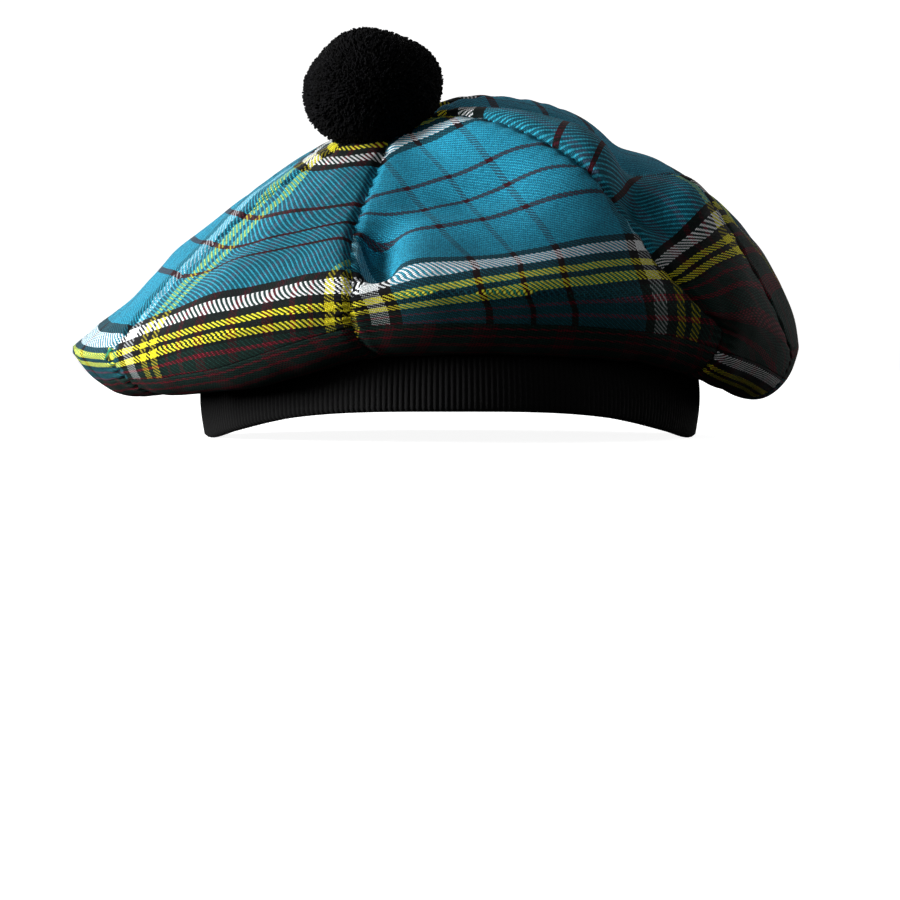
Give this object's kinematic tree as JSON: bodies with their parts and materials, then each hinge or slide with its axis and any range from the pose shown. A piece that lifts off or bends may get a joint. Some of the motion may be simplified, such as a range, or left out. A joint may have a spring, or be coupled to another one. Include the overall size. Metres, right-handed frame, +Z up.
{
  "type": "balmoral bonnet",
  "caption": "Slack round woollen bonnet with a tartan crown of wedge gores, a tartan underside, a ribbed knitted black band and a black wool pompom",
  "frame": {"origin": "on the surface that the bonnet stands on, below the middle of its bounding box", "axes": "+Z up; the bonnet's front faces -Y and its right side, seen from the front, is +X"},
  "size_m": [0.2379, 0.2404, 0.1321],
  "materials": {
    "tartan_cloth": "woven wool twill, matt, teal, navy and dark green tartan with white, yellow and maroon lines",
    "band_knit": "black ribbed wool knit, matt",
    "pompom_yarn": "black cut wool yarn, fluffy, matt"
  },
  "bodies": {
    "root": {"crown_gore_1": "tartan_cloth", "crown_gore_2": "tartan_cloth", "crown_gore_3": "tartan_cloth", "crown_gore_4": "tartan_cloth", "crown_gore_5": "tartan_cloth", "crown_gore_6": "tartan_cloth", "crown_gore_7": "tartan_cloth", "crown_gore_8": "tartan_cloth", "under_panel_1": "tartan_cloth", "under_panel_2": "tartan_cloth", "under_panel_3": "tartan_cloth", "under_panel_4": "tartan_cloth", "under_panel_5": "tartan_cloth", "under_panel_6": "tartan_cloth", "under_panel_7": "tartan_cloth", "under_panel_8": "tartan_cloth", "headband": "band_knit", "pompom": "pompom_yarn"}
  },
  "joints": []
}
